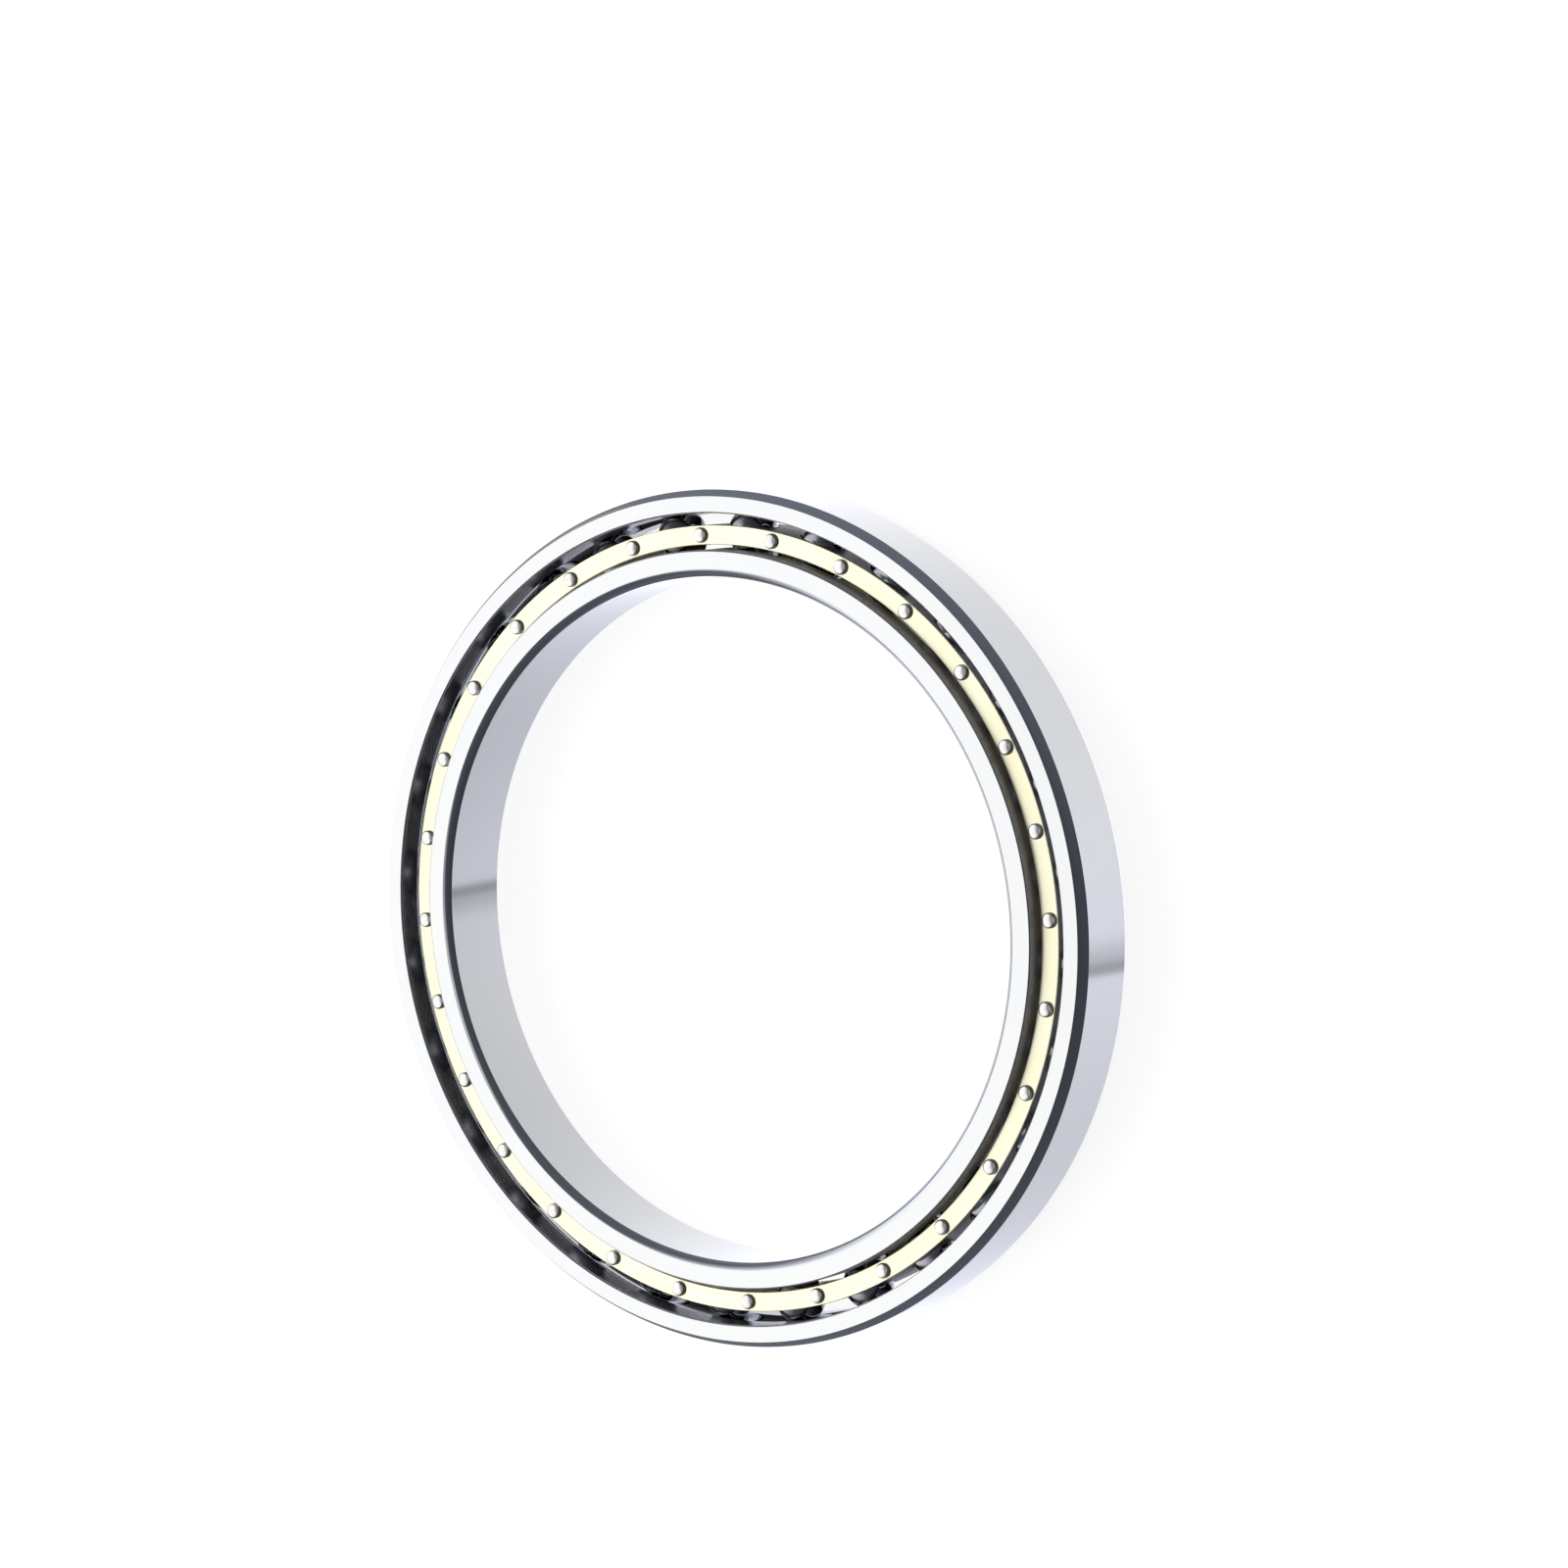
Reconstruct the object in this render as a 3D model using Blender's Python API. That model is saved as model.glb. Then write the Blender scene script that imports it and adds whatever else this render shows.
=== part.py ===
"""Thin-section ball bearing with a riveted two-piece brass cage, 160 x 200 x 20 mm.

The bearing lies on its side: its axis is Z, and z = 0 is the plane that its lower side faces rest on.
All lengths are in metres.
"""

import math

import bmesh
import bpy
from mathutils import Matrix, Vector

# Rings
BORE_DIAMETER = 0.160
WIDTH = 0.020
INNER_RING_WALL = 0.0038
OUTER_RING_WALL = 0.0038
INNER_SHOULDER_HEIGHT = 0.0023
OUTER_SHOULDER_HEIGHT = 0.0016
OUTER_CORNER_RADIAL = 0.0015
OUTER_CORNER_AXIAL = 0.00245
BORE_CORNER_RADIAL = 0.00175
BORE_CORNER_AXIAL = 0.0013
CORNER_BULGE = math.radians(12)
LAND_EDGE_BREAK = 0.00035
GROOVE_CONFORMITY = 0.52

# Balls
BALL_DIAMETER = 0.0119
BALL_COUNT = 28
RACE_CLEARANCE = 0.00025

# Cage: two machined halves that meet at the middle of the width
CAGE_THICKNESS = 0.0045
CAGE_INSET = 0.0005
CAGE_WEB = 0.00075
CAGE_EDGE_BREAK = 0.0004
POCKET_CLEARANCE = 0.0003

# Rivets, one through each bar of the cage
RIVET_SHANK_DIAMETER = 0.0020
RIVET_HEAD_DIAMETER = 0.0036
RIVET_HEAD_HEIGHT = 0.0007
RIVET_RIM_WIDTH = 0.00045
RIVET_CROWN_RISE = 0.0002
RIVET_HOLE_CLEARANCE = 0.0002

# Flat faces that meet keep this gap
SEAT_GAP = 0.0002

# Fineness of the round shapes
TURNED_SEGMENTS_PER_BALL = 2
CORNER_STEPS = 3
GROOVE_STEPS = 6
BALL_SEGMENTS = 10
BALL_RINGS = 6
POCKET_SEGMENTS = 12
POCKET_RINGS = 6
RIVET_SEGMENTS = 8

# Sizes that follow from those above
BALL_RADIUS = BALL_DIAMETER / 2
BORE_RADIUS = BORE_DIAMETER / 2
MID_PLANE = WIDTH / 2
INNER_GROOVE_BOTTOM = BORE_RADIUS + INNER_RING_WALL
PITCH_RADIUS = INNER_GROOVE_BOTTOM + RACE_CLEARANCE + BALL_RADIUS
OUTER_GROOVE_BOTTOM = PITCH_RADIUS + BALL_RADIUS + RACE_CLEARANCE
OUTER_RADIUS = OUTER_GROOVE_BOTTOM + OUTER_RING_WALL
GROOVE_RADIUS = GROOVE_CONFORMITY * BALL_DIAMETER
TURNED_SEGMENTS = TURNED_SEGMENTS_PER_BALL * BALL_COUNT
BALL_PITCH = 2 * math.pi / BALL_COUNT
CAGE_HALF_HEIGHT = BALL_RADIUS + POCKET_CLEARANCE + CAGE_WEB
CAGE_MEAN_RADIUS = PITCH_RADIUS - CAGE_INSET
CAGE_BORE_RADIUS = CAGE_MEAN_RADIUS - CAGE_THICKNESS / 2
CAGE_OUTER_RADIUS = CAGE_MEAN_RADIUS + CAGE_THICKNESS / 2

# Finishes: colour, roughness, metallic
GROUND_STEEL = ("ground_bearing_steel", (0.62, 0.63, 0.66), 0.22, 1.0)
BALL_STEEL = ("polished_ball_steel", (0.72, 0.73, 0.75), 0.06, 1.0)
CAGE_BRASS = ("machined_cage_brass", (0.89, 0.79, 0.48), 0.24, 1.0)
RIVET_STEEL = ("steel_rivet", (0.66, 0.65, 0.62), 0.20, 1.0)


def clear_scene():
    """Removes every object of the scene."""
    for old in list(bpy.data.objects):
        bpy.data.objects.remove(old)


def material(finish):
    """The material of a finish, made once."""
    name, colour, roughness, metallic = finish
    made = bpy.data.materials.get(name)
    if made is None:
        made = bpy.data.materials.new(name)
        made.use_nodes = True
        shader = made.node_tree.nodes["Principled BSDF"]
        shader.inputs["Base Color"].default_value = (*colour, 1)
        shader.inputs["Roughness"].default_value = roughness
        shader.inputs["Metallic"].default_value = metallic
    return made


def new_axis(name, height, parent=None):
    """An empty on the bearing's axis, which a group of pieces turns about."""
    axis = bpy.data.objects.new(name, None)
    bpy.context.collection.objects.link(axis)
    axis.location = (0, 0, height)
    axis.parent = parent
    return axis


def new_piece(name, bm, finish, parent, location=(0, 0, 0), turn=0.0):
    """One named solid, made from a bmesh, with its finish and its place under its parent."""
    bmesh.ops.recalc_face_normals(bm, faces=bm.faces[:])
    mesh = bpy.data.meshes.new(name)
    bm.to_mesh(mesh)
    bm.free()
    mesh.shade_smooth()
    mesh.set_sharp_from_angle(angle=math.radians(30))
    mesh.materials.append(material(finish))
    piece = bpy.data.objects.new(name, mesh)
    bpy.context.collection.objects.link(piece)
    piece.parent = parent
    piece.location = location
    piece.rotation_euler = (0, 0, turn)
    return piece


def copy_piece(source, name, parent, location, turn=0.0):
    """Another object that shares the mesh of source."""
    piece = bpy.data.objects.new(name, source.data)
    bpy.context.collection.objects.link(piece)
    piece.parent = parent
    piece.location = location
    piece.rotation_euler = (0, 0, turn)
    return piece


def on_circle(radius, angle, height=0.0):
    """A point at an angle round the axis."""
    return Vector((radius * math.cos(angle), radius * math.sin(angle), height))


def turned(profile, segments):
    """A solid turned about Z from a profile of (radius, height) points.

    A profile that starts and ends on the axis is left open; any other is closed by its last edge.
    """
    bm = bmesh.new()
    points = [bm.verts.new((radius, 0, height)) for radius, height in profile]
    edges = [bm.edges.new(pair) for pair in zip(points, points[1:])]
    if profile[0][0] > 0:
        edges.append(bm.edges.new((points[-1], points[0])))
    bmesh.ops.spin(
        bm, geom=points + edges, axis=(0, 0, 1), cent=(0, 0, 0),
        angle=2 * math.pi, steps=segments, use_merge=True,
    )
    bmesh.ops.remove_doubles(bm, verts=bm.verts[:], dist=1e-7)
    return bm


def corner(radius, height, side, inward, radial, axial):
    """A turned corner of a ring: a shallow arc from its cylinder to its side face.

    radius is the cylinder's, height the side face's, side is +1 at the top face and -1 at the bottom
    one, and inward is the radial direction into the metal. radial and axial are the corner's sizes. The
    arc meets its chord at CORNER_BULGE, so both ends of the corner keep a crisp edge.
    """
    start = Vector((radius, height - side * axial))
    chord = Vector((inward * radial, side * axial))
    outward = Vector((-inward * axial, side * radial)).normalized()
    arc_radius = chord.length / (2 * math.sin(CORNER_BULGE))
    points = []
    for step in range(CORNER_STEPS + 1):
        turn = CORNER_BULGE * (2 * step / CORNER_STEPS - 1)
        share = 0.5 * (1 + math.sin(turn) / math.sin(CORNER_BULGE))
        rise = arc_radius * (math.cos(turn) - math.cos(CORNER_BULGE))
        points.append(tuple(start + share * chord + rise * outward))
    return points


def groove(bottom_radius, shoulder_height, inward):
    """The race: an arc from the lower land to the upper one, its bottom at the middle of the width.

    inward is the radial direction from the groove into the metal.
    """
    centre = bottom_radius - inward * GROOVE_RADIUS
    half_angle = math.acos(1 - shoulder_height / GROOVE_RADIUS)
    points = []
    for step in range(GROOVE_STEPS + 1):
        angle = half_angle * (2 * step / GROOVE_STEPS - 1)
        points.append((
            centre + inward * GROOVE_RADIUS * math.cos(angle),
            MID_PLANE + GROOVE_RADIUS * math.sin(angle),
        ))
    return points


def ring_profile(seat_radius, corner_sizes, groove_bottom, shoulder_height, inward):
    """The section of a ring, from its seat round by the top face, the race and the bottom face.

    seat_radius is that of the bore or of the outside, corner_sizes are the radial and axial sizes of the
    corners there, and inward points from the seat into the metal.
    """
    land = groove_bottom + inward * shoulder_height
    top = corner(seat_radius, WIDTH, 1, inward, *corner_sizes)
    bottom = corner(seat_radius, 0.0, -1, inward, *corner_sizes)
    upper_edge = [(land - inward * LAND_EDGE_BREAK, WIDTH), (land, WIDTH - LAND_EDGE_BREAK)]
    lower_edge = [(land, LAND_EDGE_BREAK), (land - inward * LAND_EDGE_BREAK, 0.0)]
    race = groove(groove_bottom, shoulder_height, -inward)
    return top + upper_edge + race[::-1] + lower_edge + bottom[::-1]


def build_rings(axis, inner_axis):
    """The outer ring, which stands still, and the inner ring, which turns."""
    outer_corner = (OUTER_CORNER_RADIAL, OUTER_CORNER_AXIAL)
    bore_corner = (BORE_CORNER_RADIAL, BORE_CORNER_AXIAL)
    outer = ring_profile(OUTER_RADIUS, outer_corner, OUTER_GROOVE_BOTTOM, OUTER_SHOULDER_HEIGHT, -1)
    inner = ring_profile(BORE_RADIUS, bore_corner, INNER_GROOVE_BOTTOM, INNER_SHOULDER_HEIGHT, 1)
    new_piece("outer_ring", turned(outer, TURNED_SEGMENTS), GROUND_STEEL, axis)
    new_piece("inner_ring", turned(inner, TURNED_SEGMENTS), GROUND_STEEL, inner_axis)


def build_balls(cage_axis):
    """The balls, spaced evenly on the pitch circle. The first is on +X."""
    bm = bmesh.new()
    bmesh.ops.create_uvsphere(
        bm, u_segments=BALL_SEGMENTS, v_segments=BALL_RINGS, radius=BALL_RADIUS,
    )
    first = new_piece("ball_01", bm, BALL_STEEL, cage_axis, on_circle(PITCH_RADIUS, 0))
    for number in range(1, BALL_COUNT):
        angle = number * BALL_PITCH
        place = on_circle(PITCH_RADIUS, angle)
        copy_piece(first, f"ball_{number + 1:02d}", cage_axis, place, angle)


def pocket_and_hole_cutter(cage_axis):
    """The cutter of both cage halves: a sphere at each ball and a drill at each rivet.

    Each sphere's poles point along the radius, and its flats lie outside the ball and its clearance.
    """
    flats = math.cos(math.pi / POCKET_SEGMENTS) * math.cos(0.5 * math.pi / POCKET_RINGS)
    pocket_radius = (BALL_RADIUS + POCKET_CLEARANCE) / flats
    hole_radius = RIVET_SHANK_DIAMETER / 2 + RIVET_HOLE_CLEARANCE
    poles_outward = (
        Matrix.Rotation(math.pi / 2, 4, "Y") @ Matrix.Rotation(math.pi / POCKET_SEGMENTS, 4, "Z")
    )
    bm = bmesh.new()
    for number in range(BALL_COUNT):
        angle = number * BALL_PITCH
        ball_place = Matrix.Translation(on_circle(PITCH_RADIUS, angle))
        bmesh.ops.create_uvsphere(
            bm, u_segments=POCKET_SEGMENTS, v_segments=POCKET_RINGS, radius=pocket_radius,
            matrix=ball_place @ Matrix.Rotation(angle, 4, "Z") @ poles_outward,
        )
        bar_angle = angle + BALL_PITCH / 2
        bar_place = Matrix.Translation(on_circle(CAGE_MEAN_RADIUS, bar_angle))
        bmesh.ops.create_cone(
            bm, cap_ends=True, segments=RIVET_SEGMENTS, radius1=hole_radius, radius2=hole_radius,
            depth=3 * CAGE_HALF_HEIGHT, matrix=bar_place @ Matrix.Rotation(bar_angle, 4, "Z"),
        )
    cutter = new_piece("pocket_and_hole_cutter", bm, CAGE_BRASS, cage_axis)
    cutter.hide_render = True
    cutter.display_type = "WIRE"
    return cutter


def build_cage(cage_axis):
    """The two cage halves: rings turned in brass, with half pockets for the balls and rivet holes."""
    cutter = pocket_and_hole_cutter(cage_axis)
    split = SEAT_GAP / 2
    for name, side in (("cage_upper_half", 1), ("cage_lower_half", -1)):
        end = side * CAGE_HALF_HEIGHT
        profile = [
            (CAGE_BORE_RADIUS, side * split),
            (CAGE_BORE_RADIUS, end - side * CAGE_EDGE_BREAK),
            (CAGE_BORE_RADIUS + CAGE_EDGE_BREAK, end),
            (CAGE_OUTER_RADIUS - CAGE_EDGE_BREAK, end),
            (CAGE_OUTER_RADIUS, end - side * CAGE_EDGE_BREAK),
            (CAGE_OUTER_RADIUS, side * split),
        ]
        half = new_piece(name, turned(profile, TURNED_SEGMENTS), CAGE_BRASS, cage_axis)
        cut = half.modifiers.new("pockets and rivet holes", "BOOLEAN")
        cut.operation = "DIFFERENCE"
        cut.object = cutter


def build_rivets(cage_axis):
    """A low round-headed rivet in each bar of the cage, closed over both end faces."""
    shank = RIVET_SHANK_DIAMETER / 2
    head = RIVET_HEAD_DIAMETER / 2
    seat = CAGE_HALF_HEIGHT + SEAT_GAP
    crown = seat + RIVET_HEAD_HEIGHT
    brow = (head - RIVET_RIM_WIDTH, crown - RIVET_CROWN_RISE)
    upper = [(0, crown), brow, (head, seat), (shank, seat)]
    profile = upper + [(radius, -height) for radius, height in reversed(upper)]
    bm = turned(profile, RIVET_SEGMENTS)
    bar_angles = [(number + 0.5) * BALL_PITCH for number in range(BALL_COUNT)]
    place = on_circle(CAGE_MEAN_RADIUS, bar_angles[0])
    first = new_piece("rivet_01", bm, RIVET_STEEL, cage_axis, place, bar_angles[0])
    for number, angle in enumerate(bar_angles[1:], start=2):
        place = on_circle(CAGE_MEAN_RADIUS, angle)
        copy_piece(first, f"rivet_{number:02d}", cage_axis, place, angle)


def main():
    """Builds the bearing."""
    clear_scene()
    axis = new_axis("bearing_axis", 0)
    inner_axis = new_axis("inner_ring_axis", 0, axis)
    cage_axis = new_axis("cage_axis", MID_PLANE, axis)
    build_rings(axis, inner_axis)
    build_balls(cage_axis)
    build_cage(cage_axis)
    build_rivets(cage_axis)


main()
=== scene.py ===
"""Dresses the thin-section ball bearing: ground steel rings, lapped balls, a riveted brass cage.

Every piece is a surface worked out with numpy. The rings and rivets are profiles carried round an
axis, the balls are spheres, and each cage half is a section carried round the bearing's axis and
arched over the balls. All lengths are in metres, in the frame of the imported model: the bearing lies
flat, its axis is Z and its lower side faces rest on z = 0.
"""

import logging
import math
from dataclasses import dataclass, field
from enum import Enum
from typing import ClassVar, Sequence, Union

import bpy
import numpy as np
from mathutils import Matrix, Vector


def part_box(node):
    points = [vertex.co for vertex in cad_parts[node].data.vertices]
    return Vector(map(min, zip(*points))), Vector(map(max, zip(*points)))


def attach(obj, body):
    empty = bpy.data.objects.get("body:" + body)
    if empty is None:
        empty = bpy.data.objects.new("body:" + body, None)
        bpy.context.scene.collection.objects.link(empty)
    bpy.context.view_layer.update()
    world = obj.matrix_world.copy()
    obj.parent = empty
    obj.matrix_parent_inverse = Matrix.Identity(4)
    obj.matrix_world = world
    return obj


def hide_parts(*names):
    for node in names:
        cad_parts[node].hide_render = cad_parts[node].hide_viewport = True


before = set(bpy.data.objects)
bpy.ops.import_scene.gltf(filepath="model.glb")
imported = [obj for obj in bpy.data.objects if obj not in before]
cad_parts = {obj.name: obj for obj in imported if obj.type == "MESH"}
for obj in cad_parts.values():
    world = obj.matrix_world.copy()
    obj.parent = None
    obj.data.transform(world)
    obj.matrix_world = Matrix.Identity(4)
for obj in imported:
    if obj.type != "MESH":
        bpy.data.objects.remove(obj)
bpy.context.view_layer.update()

LOG = logging.getLogger("bearing")
MM = 0.001
MICRON = 0.000001
SHARP_ANGLE = math.radians(24)
# The corners of a quad the other way round, from the same first one.
TURNED_OVER = [0, 3, 2, 1]

Pair = tuple[float, float]
Triple = tuple[float, float, float]
Colour = Triple
Socket = bpy.types.NodeSocket
Value = Union[Socket, float, tuple[float, ...]]


class Side(Enum):
    """The two sides of the bearing's mid plane."""

    UPPER = 1
    LOWER = -1


class Inward(Enum):
    """The way from a ring's seat into its metal, along the radius."""

    OUTER_RING = -1
    INNER_RING = 1


class RingZone(Enum):
    """The surfaces of a ring, in the order of its material slots."""

    GROUND = 0
    TURNED = 1
    RACE = 2
    LAND = 3


class CageZone(Enum):
    """The surfaces of a cage half, in the order of its material slots."""

    END_FACE = 0
    OUTER_WALL = 1
    INNER_WALL = 2
    POCKET = 3


class Grain(Enum):
    """How the fine marks of a finish run."""

    ROUND_THE_AXIS = "round the axis"
    EVERY_WAY = "every way"


@dataclass(frozen=True)
class BearingSizes:
    """The sizes that the pieces share.

    The outside, the width, the balls, the pitch circle, the cage and the rivet heads are read from
    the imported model. The others are the bearing's own values.
    """

    outer_radius: float
    width: float
    ball_radius: float
    pitch_radius: float  # Radius of the circle that the balls' centres lie on
    cage_outer_radius: float
    cage_top: float  # Height of the cage's upper end face
    crown_height: float  # Height of the rivets' tops
    ball_count: int  # Number of balls, and of rivets
    ring_wall: float = 3.8 * MM  # Thickness of a ring at the bottom of its race
    race_clearance: float = 0.25 * MM
    groove_conformity: float = 0.52  # Radius of the race's arc as a share of the ball's diameter
    pocket_clearance: float = 0.30 * MM
    cage_thickness: float = 4.5 * MM  # Thickness of the cage's wall, along the radius
    seat_gap: float = 0.2 * MM  # Gap between the cage halves, and under each rivet head

    @classmethod
    def from_frame(cls) -> "BearingSizes":
        """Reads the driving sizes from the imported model.

        Returns:
            The sizes, with the bearing's own values for what the boxes don't show.
        """
        ring_low, ring_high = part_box("outer_ring")
        ball_low, ball_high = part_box("ball_01")
        _, cage_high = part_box("cage_upper_half")
        _, rivet_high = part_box("rivet_01")
        return cls(
            outer_radius=ring_high.x,
            width=ring_high.z - ring_low.z,
            ball_radius=(ball_high.z - ball_low.z) / 2,
            pitch_radius=(ball_high.x + ball_low.x) / 2,
            cage_outer_radius=cage_high.x,
            cage_top=cage_high.z,
            crown_height=rivet_high.z,
            ball_count=sum(name.startswith("ball_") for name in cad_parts),
        )

    @property
    def mid(self) -> float:
        """Height of the mid plane."""
        return self.width / 2

    @property
    def pitch(self) -> float:
        """Angle from one ball to the next."""
        return 2 * math.pi / self.ball_count

    @property
    def groove_radius(self) -> float:
        """Radius of the race's arc, a little more than the ball's."""
        return 2 * self.groove_conformity * self.ball_radius

    @property
    def bore_radius(self) -> float:
        """Radius of the inner ring's bore, one wall inside the inner race."""
        return self.pitch_radius - self.ball_radius - self.race_clearance - self.ring_wall

    @property
    def cage_mean_radius(self) -> float:
        """Radius of the middle of the cage's wall, where the rivets stand."""
        return self.cage_outer_radius - self.cage_thickness / 2


def line(start: Pair, end: Pair, guard: float = 0.06 * MM) -> np.ndarray:
    """A straight stretch of a profile.

    A point is start + t (end - start), with t at 0, just after it, at the half, and just before 1, so
    that the shading of a flat surface stays flat up to its edges. The end itself is left out.

    Args:
        start: First (radius, height).
        end: Last (radius, height), where the next stretch starts.
        guard: Distance of the points next to both ends, at most a quarter of the stretch.

    Returns:
        An array of (radius, height) rows.
    """
    first, last = np.array(start), np.array(end)
    near = min(guard / np.linalg.norm(last - first), 0.25)
    return first + np.array([0.0, near, 0.5, 1 - near])[:, None] * (last - first)


def bulged(start: Pair, end: Pair, bulge: float, steps: int) -> np.ndarray:
    """A stretch of a profile that bulges to the right of its way from start to end.

    It is an arc over the chord c. With bulge b, the angle between chord and arc at each end, its
    radius is |c| / (2 sin b), and a point at the share t of the turn lies at the angle (2t - 1) b
    from the middle of the arc. The end itself is left out.

    Args:
        start: First (radius, height).
        end: Last (radius, height), where the next stretch starts.
        bulge: Angle at each end, in radians. A negative one hollows the stretch.
        steps: Number of steps along the arc.

    Returns:
        An array of (radius, height) rows.
    """
    first, last = np.array(start), np.array(end)
    chord = last - first
    length = np.linalg.norm(chord)
    along = chord / length
    aside = np.array([along[1], -along[0]])
    radius = length / (2 * math.sin(bulge))
    turn = (2 * np.arange(steps) / steps - 1) * bulge
    run = length / 2 + radius * np.sin(turn)
    rise = radius * (np.cos(turn) - math.cos(bulge))
    return first + run[:, None] * along + rise[:, None] * aside


@dataclass
class Profile:
    """A section of a turned piece, as stretches of (radius, height) points with a zone each."""

    points: list[np.ndarray] = field(default_factory=list)
    zones: list[int] = field(default_factory=list)

    def add(self, stretch: np.ndarray, zone: RingZone) -> None:
        """Adds a stretch, whose end is the start of the next one."""
        self.points.append(stretch)
        self.zones += [zone.value] * len(stretch)

    def array(self) -> np.ndarray:
        """All points as one array of (radius, height) rows."""
        return np.concatenate(self.points)


def build_mesh(name: str, vertices: np.ndarray, faces: list[np.ndarray]) -> bpy.types.Mesh:
    """Makes a smooth mesh with sharp edges where its faces turn by more than SHARP_ANGLE.

    Args:
        name: Name of the mesh.
        vertices: Rows of (x, y, z).
        faces: Arrays of vertex numbers, one row a face, such as all quads and then all triangles.

    Returns:
        The mesh.
    """
    mesh = bpy.data.meshes.new(name)
    mesh.from_pydata(vertices, [], [row for rows in faces for row in rows.tolist()])
    mesh.shade_smooth()
    mesh.set_sharp_from_angle(angle=SHARP_ANGLE)
    return mesh


def add_piece(
    name: str, mesh: bpy.types.Mesh, finishes: list[bpy.types.Material],
    body: str, nodes: list[str],
) -> bpy.types.Object:
    """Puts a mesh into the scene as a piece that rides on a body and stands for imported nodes.

    Args:
        name: Name of the piece.
        mesh: Its mesh, with its place in its vertices.
        finishes: Its materials, in the order of its face indices.
        body: The body that it moves with.
        nodes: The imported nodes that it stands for.

    Returns:
        The object.
    """
    piece = bpy.data.objects.new(name, mesh)
    bpy.context.scene.collection.objects.link(piece)
    for finish in finishes:
        mesh.materials.append(finish)
    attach(piece, body)
    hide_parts(*nodes)
    LOG.info("%s: %d faces on %s", name, len(mesh.polygons), body)
    return piece


def carried_round(section: np.ndarray, segments: int) -> np.ndarray:
    """The points of a section at every step round the Z axis.

    Point i at step j is (r_i cos a, r_i sin a, z_i), with a = 2 pi j / n.

    Args:
        section: (radius, height) rows.
        segments: Steps round the axis, n.

    Returns:
        Rows of (x, y, z), with all steps of the first point first.
    """
    angle = 2 * np.pi * np.arange(segments) / segments
    radius, height = section[:, :1], section[:, 1:]
    parts = np.broadcast_arrays(radius * np.cos(angle), radius * np.sin(angle), height + 0 * angle)
    return np.stack(parts, axis=-1).reshape(-1, 3)


def grid_quads(rows: int, columns: int, steps: int) -> np.ndarray:
    """The quads between the rows of a grid of vertices, each row closed on itself.

    The vertex in row i and column j has the number i m + j, with m columns. Its quad goes on to the
    next column, to the next row and back.

    Args:
        rows: Rows of vertices.
        columns: Vertices in each row, m.
        steps: Rows of quads: as many as rows of vertices where the last row leads to the first, or
            one less.

    Returns:
        Rows of four vertex numbers.
    """
    i, j = np.meshgrid(np.arange(steps), np.arange(columns), indexing="ij")
    up, on = (i + 1) % rows, (j + 1) % columns
    corners = [i * columns + j, i * columns + on, up * columns + on, up * columns + j]
    return np.stack(corners, axis=-1).reshape(-1, 4)


def ring_mesh(name: str, profile: Profile, segments: int) -> bpy.types.Mesh:
    """Carries a closed profile round the Z axis.

    The order of each quad follows the sign of the profile's area, so that the faces point outwards.

    Args:
        name: Name of the mesh.
        profile: The closed section.
        segments: Steps round the axis.

    Returns:
        The mesh, with the zone of each profile step as its faces' material index.
    """
    section = profile.array()
    following = np.roll(section, -1, axis=0)
    area = np.sum(section[:, 0] * following[:, 1] - following[:, 0] * section[:, 1])
    quads = grid_quads(len(section), segments, len(section))
    mesh = build_mesh(name, carried_round(section, segments), [quads if area > 0 else quads[:, ::-1]])
    indices = np.repeat(np.array(profile.zones, dtype=np.int32), segments)
    mesh.polygons.foreach_set("material_index", indices)
    return mesh


def poled_mesh(name: str, section: np.ndarray, segments: int, place: Vector) -> bpy.types.Mesh:
    """Carries an open profile that starts and ends on its axis round that axis.

    It is the same surface as a ring's, with one vertex at each pole and triangles round it.

    Args:
        name: Name of the mesh.
        section: (radius, height) rows from the top pole down to the bottom one.
        segments: Steps round the axis.
        place: Where the section's origin goes.

    Returns:
        The mesh, with its faces pointing outwards.
    """
    rows = section[1:-1]
    grid = carried_round(rows, segments)
    poles = np.array([[0, 0, section[0, 1]], [0, 0, section[-1, 1]]])
    vertices = np.concatenate([grid, poles]) + np.array(place)
    quads = grid_quads(len(rows), segments, len(rows) - 1)[:, TURNED_OVER]
    here = np.arange(segments)
    on = (here + 1) % segments
    last = (len(rows) - 1) * segments
    upper_fan = np.stack([np.full_like(here, len(grid)), here, on], axis=-1)
    lower_fan = np.stack([np.full_like(here, len(grid) + 1), last + on, last + here], axis=-1)
    return build_mesh(name, vertices, [quads, upper_fan, lower_fan])


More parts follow.
